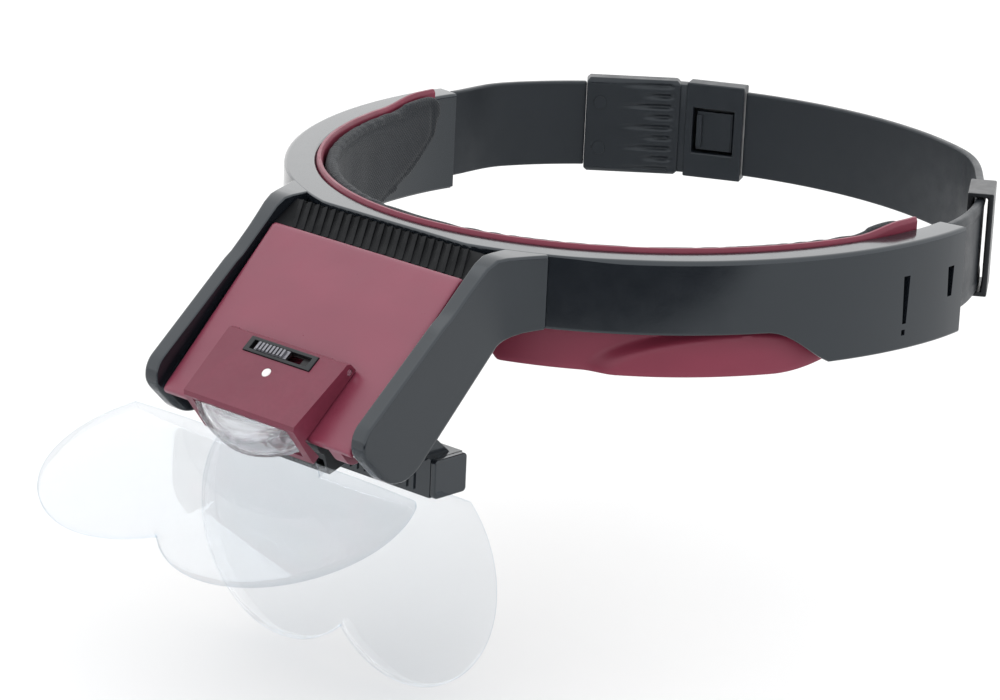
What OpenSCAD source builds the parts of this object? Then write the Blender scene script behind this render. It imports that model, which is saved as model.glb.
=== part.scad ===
// Head visor magnifier: an oval headband with a sloping lamp housing
// at the brow and two pairs of clear lenses in front of the eyes.
// Millimetres. +Z is up, the wearer faces -Y, +X is the wearer's left.
// The origin is the centre of the headband, half way up the strap.

/* [Headband] */
// Half of the band's outer width
band_half_w = 84.7; // [84:0.1:86]
// Distance from the centre to the curve at the front
band_front = 93.5; // [93:0.1:94]
// Distance from the centre to the flat front face
band_flat = 90.2; // [90:0.1:91]
// Distance from the centre to the back of the strap
band_rear = 79.3; // [79:0.1:81]
// Height of the band's top rim above the centre
band_top = 11; // [10.5:0.1:12]
// Depth of the band's lower edge below the centre, at its ends
band_low = 14; // [13.5:0.1:15]
// Depth of the band's lower edge at the brow
brow_low = 6; // [5.5:0.1:6.5]
// Radial width of the top rim
rim_w = 7.5; // [7.4:0.1:7.8]
// Wall thickness of the band
band_wall = 2.2; // [2:0.1:2.3]

/* [Lining] */
// Thickness of the liner that faces the band
liner_t = 1.5; // [1.2:0.1:1.7]
// Thickness of the soft pad against the head
pad_t = 4.5; // [3:0.1:5]
// Depth of the temple lobes below the centre
lobe_low = 17; // [15:0.5:18]

/* [Visor] */
// Slope of the lamp panel from horizontal
slope_angle = 45; // [45:1:45]
// Length of the lamp panel down the slope
panel_len = 46.7; // [46:0.1:47]
// Width of the lamp panel
panel_w = 59.4; // [59:0.1:59.8]
// Half of the clear width between the side arms
arm_inner = 30.8; // [30.6:0.1:31]
// Thickness of each side arm
arm_t = 4.2; // [4:0.1:4.4]

/* [Lenses] */
// Half of the distance between the two lobes of a lens plate
lens_half_gap = 19.5; // [18:0.5:20]
// Radius of each lobe of the front lens plate
front_lens_r = 29; // [27:0.5:30]
// Radius of each lobe of the rear lens plate
rear_lens_r = 27.3; // [26:0.1:28]
// Thickness of a lens plate at its edge
lens_t = 2.2; // [2:0.1:2.2]
// Droop of the front lens plate below horizontal
front_droop = 18; // [18:1:18]

/* [Strap] */
// Height of the strap
strap_h = 22; // [20:0.5:22]
// Thickness of the strap
strap_t = 2; // [1.6:0.1:2.2]

/* [Hidden] */
$fn = 48;

plastic_dark = [0.24, 0.26, 0.29];
plastic_black = [0.06, 0.06, 0.07];
burgundy = [0.55, 0.25, 0.32];
clear = [0.85, 0.92, 0.97, 0.35];
steel = [0.75, 0.76, 0.78];

fit_gap = 0.03;        // gap between fixed parts that touch
run_gap = 0.05;        // radial clearance of a pin that turns
ring_step = 3;         // degrees between the points of the oval
slope_y = -98.7;       // top edge of the lamp panel
slope_z = 6.4;
sleeve_start = 78;     // where the strap sleeve begins, degrees from the front
band_end = 98;         // where the band ends, degrees from the front
lining_end = 91;       // where the lining ends
lamp_top = 28.5;       // distances down the slope to the lamp housing's ends
lamp_bottom = 48.5;
lamp_half_w = 18.6;
lamp_rise = 3.5;       // height of the housing's face at its top edge
lamp_face_tilt = 6.5;
lamp_axis = [30, 1.5]; // lamp hinge: down the slope, out from the panel
case_half_w = 26.4;
case_top = 4;          // distances down the slope to the battery case's ends
case_bottom = 33;
case_depth = 15.8;
case_wall = 1.5;
cell_rows = [12.2, 24.4];      // distances down the slope to the two cells
cell_depth = 8.3;
screw_place = [24.4, -31];     // case screws: x, and y up the slope
lamp_pin_r = 0.8;
led_x = [-8, 0, 8];
led_h = 2.6;           // height of the lamps above the panel
door_axis = [6.2, -17.5];      // battery door hinge: down the slope, out from the panel
door_pin_r = 0.8;
bar_pivot = [-118, -23];       // y, z of the rear lens bar's pivot
bar_y = [-108, -98];           // the bar's front and back faces
bar_z = [-42, -33];            // its lower and upper faces
bar_half_l = 31.5;
lens_pin_r = 1.5;              // radius of the lens hinge pins and of the front rod
rear_lens_y = -102;            // plane of the rear lens plate
rear_lens_z = -63;             // height of its lobes' centres
front_axis = [-124, -29.5];    // y, z of the front lens hinge
front_centre = [-139.5, -40.3]; // y, z of the front plate between its lobes
tab_half_w = 14.4;             // half the width of the front plate's tab
tab_end = 20.4;                // how far up the plate the tab reaches
lens_slot_gap = 0.1;           // gap between a lens plate and its slot, each side
tongue_x = [78.9, 80.6];       // strap tongue inside the band's sleeve
tongue_y = [-18, 14];
tongue_z = [-9.5, 7.5];
buckle_start = 232.1;          // degrees from the front, by way of the left
buckle_end = 215.2;
receiver_start = 213.5;
receiver_end = 203.1;
buckle_h = 24.8;
rivet_z = [-6, 6];
rivet_inset = 3.6;
tab_bead_r = 0.7;              // bead at the release tab's root, which it turns on
loop_at = 122;                 // where the strap loop sits, degrees from the front
loop_size = [6.2, 14, 25];
loop_hole = [3.4, 16, 22.8];

// ---- helpers -------------------------------------------------------------

// a point of the oval, at an angle from the front, moved out by off
function oval_x(t, off) = (band_half_w + off) * sin(t);
function oval_y(t, off) = -((cos(t) > 0 ? band_front : band_rear) + off) * cos(t);
function oval(t, off) = [oval_x(t, off), oval_y(t, off)];
// the same point, held back to the flat front face
function flat_oval(t, off) = [oval_x(t, off), max(oval_y(t, off), -(band_flat + off))];
// smooth step from 0 to 1
function ease(u) = let (v = min(max(u, 0), 1)) v * v * (3 - 2 * v);
// an arc as a list of points, angles clockwise from +Y
function arc(c, r, a0, a1) = [for (i = [0:6]) let (a = a0 + (a1 - a0) * i / 6)
                              [c[0] + r * sin(a), c[1] + r * cos(a)]];

// a wall along the oval from t0 to t1, between two offsets
module oval_wall(t0, t1, outer, inner, z0, z1) {
    n = ceil((t1 - t0) / ring_step);
    ts = [for (i = [0:n]) t0 + (t1 - t0) * i / n];
    translate([0, 0, z0])
        linear_extrude(z1 - z0)
            polygon(concat([for (t = ts) oval(t, outer)],
                           [for (i = [n:-1:0]) oval(ts[i], inner)]));
}

// the same wall, with the flat front face
module flat_oval_wall(t0, t1, outer, inner, z0, z1) {
    n = ceil((t1 - t0) / ring_step);
    ts = [for (i = [0:n]) t0 + (t1 - t0) * i / n];
    translate([0, 0, z0])
        linear_extrude(z1 - z0)
            polygon(concat([for (t = ts) flat_oval(t, outer)],
                           [for (i = [n:-1:0]) flat_oval(ts[i], inner)]));
}

// a flat shape drawn in (y, z), as thick as w, centred on x
module along_x(w) {
    translate([-w / 2, 0, 0])
        rotate([90, 0, 90])
            linear_extrude(w)
                children();
}

// a block between two corners
module block(low, high) {
    translate(low)
        cube(high - low);
}

// a round bar along x
module bar_x(r, x0, x1, y, z) {
    translate([x0, y, z])
        rotate([0, 90, 0])
            cylinder(r = r, h = x1 - x0);
}

module both_sides() {
    children();
    mirror([1, 0, 0])
        children();
}

// frame of the sloping panel: y runs up the slope, z points out of it
module on_slope() {
    translate([0, slope_y, slope_z])
        rotate([slope_angle, 0, 0])
            children();
}

// frame of the lamp housing's face, from its top edge
module on_lamp_face() {
    on_slope()
        translate([0, -lamp_top, lamp_rise])
            rotate([-lamp_face_tilt, 0, 0])
                children();
}

// a point on the slope: s down the slope, h out from the panel
function sl(s, h) = [-s, h];

// ---- headband ------------------------------------------------------------

// everything below the band's stepped lower edge, in (y, z)
module lower_edge_cut() {
    step_front = -46;
    step_back = -27;
    n = 10;
    depth = band_low - brow_low + 1.2;
    polygon(concat([[-110, -band_low - 2], [-110, -brow_low]],
                   [for (i = [0:n])
                       [step_front + (step_back - step_front) * i / n,
                        -brow_low - depth * ease(i / n)]],
                   [[step_back, -band_low - 2]]));
}

// the sleeve at one end of the band that holds the strap's tongue
module strap_sleeve() {
    oval_wall(sleeve_start, band_end - 0.5, -rim_w + 1.3, -rim_w + 0.2, -band_low + 0.5,
              band_top - 1.5);
    oval_wall(sleeve_start, band_end - 0.2, -1, -rim_w + 0.3, -band_low + 0.2, -band_low + 2);
}

// the broad flat top rim
module rim_plate() {
    rim_t = 2.2;
    n = ceil(2 * band_end / ring_step);
    ts = [for (i = [0:n]) -band_end + 2 * band_end * i / n];
    translate([0, 0, band_top - rim_t])
        linear_extrude(rim_t)
            polygon(concat([for (t = ts) flat_oval(t, 0)],
                           [for (i = [n:-1:0]) oval(ts[i], -rim_w)]));
}

module front_band() {
    color(plastic_dark)
    difference() {
        union() {
            flat_oval_wall(-band_end, band_end, 0, -band_wall, -band_low, band_top - 1.2);
            rim_plate();
            // lip that the lining hangs on
            oval_wall(-band_end, band_end, -rim_w + 1.4, -rim_w + 0.1, band_top - 7,
                      band_top - 1.2);
            both_sides()
                strap_sleeve();
        }
        along_x(240)
            lower_edge_cut();
        both_sides() {
            block([81.3, -11.2, -7.9], [86.5, -9.5, 3.3]);
            block([81.3, 4.4, -4.2], [86.5, 6.6, 2.9]);
            block([81.3, -11.1, -10.6], [86.5, -10, -9.3]);
        }
    }
}

// side outline of the lining in (y, z): low at the temples, short at the brow
module lining_outline(grow) {
    lobe_front = -80;
    lobe_back = 2;
    n = 24;
    polygon(concat(
        [[-100, -brow_low + 1.5 - grow]],
        [for (i = [0:n]) let (u = i / n)
            [lobe_front + (lobe_back - lobe_front) * u,
             -brow_low + 1.5 - grow
             - (lobe_low - brow_low + 1.5) * ease(min(u * 8, (1 - u) * 2))]],
        [[8, -brow_low + 1.5], [8, 13.5 + grow], [-4, 13.5 + grow],
         [-18, 11.8 + grow], [-100, 11.8 + grow]]));
}

module sweatband_liner() {
    color(burgundy)
    intersection() {
        oval_wall(-lining_end, lining_end, -rim_w - 0.1, -rim_w - 0.1 - liner_t, -20, 18);
        along_x(220)
            lining_outline(0);
    }
}

module foam_pad() {
    outer = -rim_w - 0.2 - liner_t;
    color(plastic_dark)
    intersection() {
        oval_wall(-lining_end + 1, lining_end - 1, outer, outer - pad_t, -20, 18);
        along_x(220)
            lining_outline(-0.6);
    }
}

// ---- visor ---------------------------------------------------------------

// side outline of an arm below the panel's top edge, on the slope
module arm_outline() {
    polygon(concat([sl(-3, -2), sl(0, 0.6), sl(12, 1.5), sl(30, 3.1)],
                   [for (p = arc([41.6, -2.2], 5.8, 0, 90)) sl(p[0], p[1])],
                   [for (p = arc([38.4, -7.3], 9, 90, 180)) sl(p[0], p[1])],
                   [sl(6, -16.2), sl(-3, -14)]));
}

// side outline of an arm where it leaves the band, in (y, z)
module arm_root_outline() {
    polygon([[-79, band_top], [-92.5, band_top], [-95.5, 10.2], [-99.5, 6.4], [-101, -17.6],
             [-96.4, -13.6], [-92.8, -10.2], [-88.8, -7.6], [-84, -6.4], [-79, -6]]);
}

module arm() {
    difference() {
        intersection() {
            union() {
                on_slope()
                    along_x(100)
                        arm_outline();
                along_x(100)
                    arm_root_outline();
            }
            translate([0, 0, -40])
                linear_extrude(60)
                    polygon([[arm_inner, -140], [arm_inner + arm_t, -140],
                             [arm_inner + arm_t, -95], [36.4, -90.5], [40.4, -82.5],
                             [38, -79], [arm_inner, -79]]);
        }
        bar_x(lens_pin_r, arm_inner - 1, arm_inner + arm_t - 1, bar_pivot[0], bar_pivot[1]);
    }
}

module visor_frame() {
    web_top = 0.4;
    color(plastic_dark)
    difference() {
        union() {
            both_sides()
                arm();
            // web that joins the arms and closes the top of the compartment
            on_slope()
                block([-arm_inner - 0.5, -case_top + 0.6, -13.5],
                      [arm_inner + 0.5, -web_top, -4.2]);
            // ledge behind the panel's side edges
            on_slope()
                both_sides()
                    block([28.6, -30, -4.4], [arm_inner + 0.5, -web_top, -2.2]);
        }
        flat_oval_wall(-60, 60, fit_gap, -20, -band_low - 1, band_top + 1);
    }
}

module slot_grille() {
    rib_pitch = 2.6;
    rib_count = 21;
    color(plastic_black)
    difference() {
        union() {
            along_x(2 * arm_inner - 0.4)
                polygon([[-band_flat - 0.2, band_top - 1], [-band_flat - 0.2, 6.4],
                         [-94.2, 2.6], [-97.4, 3.8], [-98.2, 5.2]]);
            intersection() {
                // slanted slats
                for (i = [0:rib_count - 1])
                    translate([(i - (rib_count - 1) / 2) * rib_pitch, -94.2, 7.6])
                        rotate([35, 0, 0])
                            rotate([0, 0, 28])
                                cube([1.1, 9, 2.4], center = true);
                along_x(2 * arm_inner - 1.2)
                    polygon([[-band_flat - 0.4, band_top - 0.2], [-band_flat - 0.4, 6.4],
                             [-94.2, 3], [-98, 5.6]]);
            }
        }
        // clear of the panel's top edge and of the frame's web
        on_slope() {
            block([-40, -10, -20], [40, 0.1, 4]);
            block([-40, -1, -20], [40, 6, -4.1]);
        }
    }
}

// lug under the panel that holds the front lens rod, in (y, z)
module rod_lug_outline() {
    difference() {
        union() {
            translate(front_axis)
                circle(r = 3.2);
            translate([slope_y, slope_z])
                rotate(slope_angle)
                    polygon([sl(40.9, -0.6), sl(40.9, -7.4), sl(45.9, -7.4), sl(45.9, -0.6)]);
        }
        translate(front_axis)
            circle(r = lens_pin_r);
    }
}

// lug on the panel that holds a lamp hinge pin, on the slope
module lamp_lug_outline() {
    difference() {
        union() {
            translate(sl(lamp_axis[0], lamp_axis[1]))
                circle(r = lamp_pin_r + 0.6);
            polygon([sl(28.7, -0.5), sl(28.7, 1.2), sl(31.3, 1.2), sl(31.3, -0.5)]);
        }
        translate(sl(lamp_axis[0], lamp_axis[1]))
            circle(r = lamp_pin_r);
    }
}

module lamp_panel() {
    color(burgundy)
    difference() {
        union() {
            on_slope()
                along_x(panel_w)
                    polygon([sl(0.6, 0), sl(0, -0.6), sl(0, -2), sl(panel_len, -2),
                             sl(panel_len + 0.8, -1.4), sl(panel_len + 0.8, -0.7),
                             sl(panel_len, 0)]);
            both_sides() {
                translate([22, 0, 0])
                    along_x(4)
                        rod_lug_outline();
                on_slope()
                    translate([14.5, 0, 0])
                        along_x(2.2)
                            lamp_lug_outline();
            }
        }
        // cable hole behind the lamp
        on_slope()
            translate([0, -36, -3])
                cylinder(r = 2, h = 4);
    }
}

// ---- batteries -----------------------------------------------------------

module battery_case() {
    knuckle_x = 9.5;
    color(plastic_dark)
    on_slope()
    difference() {
        union() {
            block([-case_half_w, -case_bottom, -case_depth], [case_half_w, -case_top, -2.1]);
            // hinge knuckles of the door
            both_sides()
                bar_x(1.6, knuckle_x, knuckle_x + 4, -door_axis[0], door_axis[1]);
            both_sides()
                block([knuckle_x, -door_axis[0] - 0.2, -case_depth - 1.6],
                      [knuckle_x + 4, -case_top - 0.4, -case_depth + 0.5]);
        }
        block([-case_half_w + case_wall, -case_bottom + case_wall, -case_depth + case_wall],
              [case_half_w - case_wall, -case_top - case_wall, 0]);
        block([-22, -27, -case_depth - 1], [22, -8.2, -case_depth + case_wall + 1]);
        bar_x(door_pin_r, -20, 20, -door_axis[0], door_axis[1]);
        // holes for the case screws
        both_sides()
            translate([screw_place[0], screw_place[1], -20])
                cylinder(r = 0.9, h = 12);
    }
}

module battery_door() {
    color(plastic_dark)
    on_slope()
    difference() {
        union() {
            block([-21.7, -26.7, -case_depth], [21.7, -8.5, -case_depth + 1.3]);
            bar_x(1.6, -9.3, 9.3, -door_axis[0], door_axis[1]);
            block([-9.3, -9.6, -case_depth - 1.4], [9.3, -door_axis[0] - 0.4, -case_depth - 0.2]);
            block([-9.3, -10.4, -case_depth - 1.4], [9.3, -8.8, -case_depth + 0.5]);
            // finger grip
            for (i = [0:4])
                bar_x(0.5, -6, 6, -18.5 - i * 1.7, -case_depth - 0.1);
        }
        bar_x(door_pin_r + run_gap, -20, 20, -door_axis[0], door_axis[1]);
    }
}

module door_hinge_pin() {
    color(steel)
    on_slope()
        bar_x(door_pin_r, -13.4, 13.4, -door_axis[0], door_axis[1]);
}

module batteries() {
    cell_r = 5.25;
    cell_l = 43.4;
    color([0.2, 0.35, 0.55])
    on_slope()
        for (s = cell_rows) {
            bar_x(cell_r, -cell_l / 2, cell_l / 2, -s, -cell_depth);
            // the raised terminal; the second cell lies the other way round
            mirror([s == cell_rows[1] ? 1 : 0, 0, 0])
                bar_x(1.9, cell_l / 2 - 0.1, cell_l / 2 + 0.9, -s, -cell_depth);
        }
}

module battery_contacts() {
    color(steel)
    on_slope()
        both_sides()
            for (s = cell_rows)
                block([23.4, -s - 3.5, -cell_depth - 3.5], [24, -s + 3.5, -cell_depth + 3.5]);
}

module case_screws() {
    color(steel)
    on_slope()
        both_sides()
            translate([screw_place[0], screw_place[1], -case_depth - 1.1])
                difference() {
                    union() {
                        cylinder(r = 1.9, h = 1.05);
                        cylinder(r = 0.85, h = 8);
                    }
                    block([-1.3, -0.25, -0.1], [1.3, 0.25, 0.5]);
                    block([-0.25, -1.3, -0.1], [0.25, 1.3, 0.5]);
                }
}

// ---- lamp ----------------------------------------------------------------

module lamp_hinge_pins() {
    color(steel)
    on_slope()
        both_sides()
            bar_x(lamp_pin_r, 13.2, 18.4, -lamp_axis[0], lamp_axis[1]);
}

// side outline of the lamp housing on the slope
module lamp_outline() {
    face_end = lamp_rise + (lamp_bottom - lamp_top) * tan(lamp_face_tilt);
    polygon([sl(lamp_top, 0.4), sl(lamp_top, lamp_rise - 0.8), sl(lamp_top + 0.8, lamp_rise + 0.1),
             sl(lamp_bottom - 0.8, face_end - 0.1), sl(lamp_bottom, face_end - 0.9),
             sl(50, -5.8), sl(47.9, -5.8), sl(47.9, 0.4)]);
}

module lamp_housing() {
    color(burgundy)
    difference() {
        intersection() {
            on_slope()
                along_x(2 * lamp_half_w)
                    lamp_outline();
            // the sides draw in a little towards the bottom
            on_slope()
                linear_extrude(30, center = true)
                    polygon([[-lamp_half_w, -lamp_top + 1], [lamp_half_w, -lamp_top + 1],
                             [lamp_half_w, -lamp_top - 2], [17.2, -52], [-17.2, -52],
                             [-lamp_half_w, -lamp_top - 2]]);
        }
        // hollow for the board and the hinge lugs
        on_slope()
            along_x(2 * (lamp_half_w - 3))
                polygon([sl(lamp_top + 0.6, -1), sl(lamp_top + 0.6, lamp_rise - 1.2),
                         sl(47.6, 4.3), sl(47.6, -1)]);
        on_slope()
            both_sides()
                block([13, -33, -1], [16.6, -28.2, lamp_rise - 0.5]);
        // mouth for the window
        on_slope()
            block([-15, -56, -4.2], [15, -46.5, 4.2]);
        // hinge bores
        on_slope()
            bar_x(lamp_pin_r + run_gap, -20, 20, -lamp_axis[0], lamp_axis[1]);
        // recess for the switch, and its opening
        on_lamp_face() {
            block([-10.6, -5.4, -0.8], [10.6, -1.2, 2]);
            block([-6, -4.2, -3], [6, -2.4, 1]);
        }
        // bore for the indicator
        on_lamp_face()
            translate([0, -8.8, -4])
                cylinder(r = 1.2, h = 8);
    }
}

module lamp_back_cover() {
    color(plastic_dark)
    on_slope()
        difference() {
            block([-15.4, -47.5, 0.4], [15.4, -33.4, 1.1]);
            translate([0, -36, -1])
                cylinder(r = 1.6, h = 4);
        }
}

module circuit_board() {
    color([0.12, 0.4, 0.22])
    on_slope() {
        block([-13, -42, 1.2], [13, -34, 2]);
        // resistors
        for (x = [-9, -5, 7])
            block([x, -40.6, 1.95], [x + 2, -39.4, 2.5]);
    }
}

module leds() {
    color([0.98, 0.96, 0.85])
    on_slope()
        for (x = led_x)
            translate([x, -44.2, led_h])
                rotate([90, 0, 0]) {
                    cylinder(r = 1.25, h = 1.6);
                    translate([0, 0, 1.6])
                        sphere(r = 1.25);
                }
}

module reflector() {
    color([0.85, 0.86, 0.88])
    on_slope()
        difference() {
            block([-14, -45.2, 1.2], [14, -44.6, 3.8]);
            for (x = led_x)
                translate([x, -43, led_h])
                    rotate([90, 0, 0])
                        cylinder(r = 1.3, h = 4);
        }
}

module lamp_window() {
    color(clear)
    on_slope()
        intersection() {
            block([-14.9, -56, -4.1], [14.9, -47.6, 4.1]);
            translate([0, -31, 0])
                sphere(r = 23.5);
        }
}

module indicator_lens() {
    color([0.95, 0.95, 0.92])
    on_lamp_face()
        translate([0, -8.8, -1.3]) {
            cylinder(r = 1.15, h = 1.3);
            translate([0, 0, 1.3])
                cylinder(r1 = 1.15, r2 = 0.7, h = 0.35);
        }
}

module switch_bezel() {
    color(plastic_black)
    on_lamp_face()
        difference() {
            block([-10.5, -5.3, -0.75], [10.5, -1.3, 0.35]);
            block([-9, -4.5, -1], [9, -2.1, 1]);
        }
}

module switch_slider() {
    ridge_pitch = 1.1;
    color(steel)
    on_lamp_face() {
        block([-7.6, -4.4, -0.6], [2.4, -2.2, 0.25]);
        for (i = [0:7])
            block([-7 + i * ridge_pitch, -4.3, 0.2], [-6.4 + i * ridge_pitch, -2.3, 0.7]);
    }
}

// ---- lenses --------------------------------------------------------------

// outline of a plate with two round lobes
module lens_outline(r) {
    for (side = [-1, 1])
        translate([side * lens_half_gap, 0])
            circle(r = r, $fn = 96);
}

// shallow domes on the two lobes, rising to t above z = 0
module lens_domes(base_r, t) {
    dome_r = (base_r * base_r + t * t) / (2 * t);
    for (side = [-1, 1])
        intersection() {
            translate([side * lens_half_gap, 0, t - dome_r])
                sphere(r = dome_r, $fn = 96);
            translate([side * lens_half_gap, 0, -0.2])
                cylinder(r = base_r, h = t + 1, $fn = 96);
            block([side > 0 ? 0.3 : -60, -60, -1], [side > 0 ? 60 : -0.3, 60, 10]);
        }
}

// frame of the front lens plate: y runs up and back along it
module on_front_lens() {
    translate([0, front_centre[0], front_centre[1]])
        rotate([front_droop, 0, 0])
            children();
}

module front_lens() {
    color(clear)
    on_front_lens() {
        translate([0, 0, -lens_t / 2])
            linear_extrude(lens_t)
                difference() {
                    union() {
                        lens_outline(front_lens_r);
                        translate([-tab_half_w, 0])
                            square([2 * tab_half_w, tab_end]);
                    }
                    // the lobes are cut off level beside the tab
                    for (side = [0, 1])
                        mirror([side, 0])
                            translate([tab_half_w, 14.4])
                                square([40, 30]);
                    translate([-20, tab_end])
                        square([40, 20]);
                }
        mirror([0, 0, 1])
            translate([0, -7, lens_t / 2])
                lens_domes(20, 1.3);
    }
}

// side outline of the front clip, in (y, z)
module clip_outline() {
    difference() {
        union() {
            translate(front_axis)
                circle(r = 3.1);
            translate(front_centre)
                rotate(front_droop)
                    polygon([[16.4, -2.4], [21.6, -2.4], [21.6, 2.4], [20.4, 5.2], [16.4, 5.2]]);
        }
        translate(front_axis)
            circle(r = lens_pin_r + run_gap);
    }
}

module front_lens_clip() {
    slot = lens_t / 2 + lens_slot_gap;
    color(plastic_black)
    difference() {
        along_x(31.2)
            clip_outline();
        on_front_lens()
            block([-tab_half_w - 0.1, 10, -slot], [tab_half_w + 0.1, tab_end + 0.1, slot]);
    }
}

module front_hinge_rod() {
    color(steel)
        bar_x(lens_pin_r, -24.6, 24.6, front_axis[0], front_axis[1]);
}

// an ear of the lens bar, in (y, z)
module ear_outline() {
    difference() {
        union() {
            translate(bar_pivot)
                circle(r = 3.9);
            polygon([[-107.5, bar_z[1] + 1 - 2], [-99.5, bar_z[1] - 1],
                     [-115.2, -20.2], [-120.8, -25.7]]);
        }
        translate(bar_pivot)
            circle(r = lens_pin_r + run_gap);
    }
}

module lens_bar() {
    slot = lens_t / 2 + lens_slot_gap;
    color(plastic_black)
    difference() {
        union() {
            block([-bar_half_l, bar_y[0], bar_z[0]], [bar_half_l, bar_y[1], bar_z[1]]);
            both_sides()
                translate([28.7, 0, 0])
                    along_x(2.8)
                        ear_outline();
            // grip ribs on the front face
            for (i = [-12:12])
                block([i * 2.2 - 0.5, bar_y[0] - 0.4, bar_z[0] + 1],
                      [i * 2.2 + 0.5, bar_y[0] + 0.5, bar_z[1] - 1]);
        }
        block([-30.6, rear_lens_y - slot, bar_z[0] - 1],
              [30.6, rear_lens_y + slot, bar_z[0] + 6.6]);
        // pockets for the clamping springs
        both_sides()
            block([8, rear_lens_y + slot - 0.1, bar_z[0] + 1],
                  [20, rear_lens_y + slot + 0.8, bar_z[0] + 6]);
    }
}

module bar_end_caps() {
    x0 = bar_half_l + fit_gap;
    x1 = bar_half_l + 1.6;
    r = 1;
    color(plastic_dark)
    both_sides() {
        block([x0, bar_y[0] + r, bar_z[0]], [x1, bar_y[1] - r, bar_z[1]]);
        block([x0, bar_y[0], bar_z[0] + r], [x1, bar_y[1], bar_z[1] - r]);
        for (y = [bar_y[0] + r, bar_y[1] - r], z = [bar_z[0] + r, bar_z[1] - r])
            bar_x(r, x0, x1, y, z);
    }
}

module bar_pivot_pins() {
    color(steel)
    both_sides()
        bar_x(lens_pin_r, 27, arm_inner + arm_t - 1, bar_pivot[0], bar_pivot[1]);
}

module lens_springs() {
    slot = lens_t / 2 + lens_slot_gap;
    color(steel)
    both_sides()
        block([8.4, rear_lens_y + slot + 0.1, bar_z[0] + 1.4],
              [19.6, rear_lens_y + slot + 0.5, bar_z[0] + 5.6]);
}

module rear_lens() {
    top = bar_z[0] + 6.4;
    color(clear)
    translate([0, rear_lens_y, rear_lens_z])
        rotate([90, 0, 0]) {
            translate([0, 0, -lens_t / 2])
                linear_extrude(lens_t)
                    difference() {
                        union() {
                            lens_outline(rear_lens_r);
                            translate([-30.4, 12])
                                square([60.8, top - rear_lens_z - 12]);
                        }
                        for (side = [-1, 1])
                            translate([side * 40.4 - 10, bar_z[0] - rear_lens_z - 0.6])
                                square([20, 30]);
                        translate([-50, top - rear_lens_z])
                            square([100, 20]);
                    }
            translate([0, -4, lens_t / 2])
                lens_domes(20, 1.3);
        }
}

// ---- strap ---------------------------------------------------------------

// how far the strap's outer face lies inside the oval; it dips inward at the
// sleeves, for a longer way on the wearer's left, where the loop holds it
function strap_off(t) = t < 180 ? left_off(t - band_end) : right_off(360 - band_end - t);
function left_off(edge) = -0.3 - (3.4 + 0.8 * ease(edge / 24)) * (1 - ease((edge - 32) / 23));
function right_off(edge) = -0.3 - 3.6 * (1 - ease(edge / 14));

// the strap along the oval, from t0 to t1
module strap_run(t0, t1) {
    n = ceil((t1 - t0) / 2.5);
    ts = [for (i = [0:n]) t0 + (t1 - t0) * i / n];
    linear_extrude(strap_h, center = true)
        polygon(concat([for (t = ts) oval(t, strap_off(t))],
                       [for (i = [n:-1:0]) oval(ts[i], strap_off(ts[i]) - strap_t)]));
}

module strap_tongue() {
    block([tongue_x[0], tongue_y[0], tongue_z[0]], [tongue_x[1], tongue_y[1], tongue_z[1]]);
}

// frame of the chord between two points of the oval: x along it, y outward
module on_chord(ta, tb) {
    a = oval(ta, 0);
    b = oval(tb, 0);
    translate([(a[0] + b[0]) / 2, (a[1] + b[1]) / 2, 0])
        rotate([0, 0, atan2(b[1] - a[1], b[0] - a[0])])
            children();
}

function chord(ta, tb) = norm(oval(ta, 0) - oval(tb, 0));

module strap_left() {
    color(plastic_dark) {
        strap_run(band_end + 1.4, receiver_end - 0.3);
        strap_tongue();
    }
}

module strap_right() {
    color(plastic_dark) {
        strap_run(buckle_start + 0.3, 360 - band_end - 1.4);
        mirror([1, 0, 0])
            strap_tongue();
    }
}

module strap_loop() {
    off = strap_off(loop_at) - strap_t / 2;
    // the strap's own direction, where the loop sits
    turn = atan2((band_half_w + off) * -cos(loop_at), (band_rear + off) * sin(loop_at));
    color(plastic_black)
    translate([oval_x(loop_at, off), oval_y(loop_at, off), 0])
        rotate([0, 0, turn])
            difference() {
                cube(loop_size, center = true);
                cube(loop_hole, center = true);
            }
}

// a wedge that runs out along -x
module grip_rib(len) {
    rib_w = 1.2;
    rib_h = 0.8;
    translate([0, 0, -rib_w / 2])
        linear_extrude(rib_w)
            polygon([[-len, 0], [0, 0], [0, rib_h], [-1, rib_h]]);
}

// The two halves of the buckle meet between their chords.
module buckle_body() {
    len = chord(buckle_start, buckle_end);
    rib_pitch = 2.6;
    color(plastic_dark)
    on_chord(buckle_start, buckle_end)
        difference() {
            union() {
                block([-len / 2, -3.4, -buckle_h / 2], [len / 2, 2, buckle_h / 2]);
                // grip ribs on both faces, long and short by turns
                for (i = [-4:3], face = [0, 1])
                    translate([len / 2 - 1.2, face ? 1.9 : -3.3, (i + 0.5) * rib_pitch])
                        mirror([0, face ? 0 : 1, 0])
                            grip_rib(i % 2 == 0 ? 15 : 10);
            }
            // way for the inserted tongue
            block([-len / 2 + 8, -1.7, -8.2], [len / 2 + 1, 0.3, 8.2]);
            // rivet hole
            for (z = rivet_z)
                translate([-len / 2 + rivet_inset, -5, z])
                    rotate([-90, 0, 0])
                        cylinder(r = 1.1, h = 10);
        }
}

module buckle_rivets() {
    len = chord(buckle_start, buckle_end);
    color(steel)
    on_chord(buckle_start, buckle_end)
        for (z = rivet_z)
            translate([-len / 2 + rivet_inset, -3.7, z])
                rotate([-90, 0, 0]) {
                    cylinder(r = 1.05, h = 6);
                    cylinder(r = 1.7, h = 0.28);
                    translate([0, 0, 5.72])
                        cylinder(r = 1.7, h = 0.28);
                }
}

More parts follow.
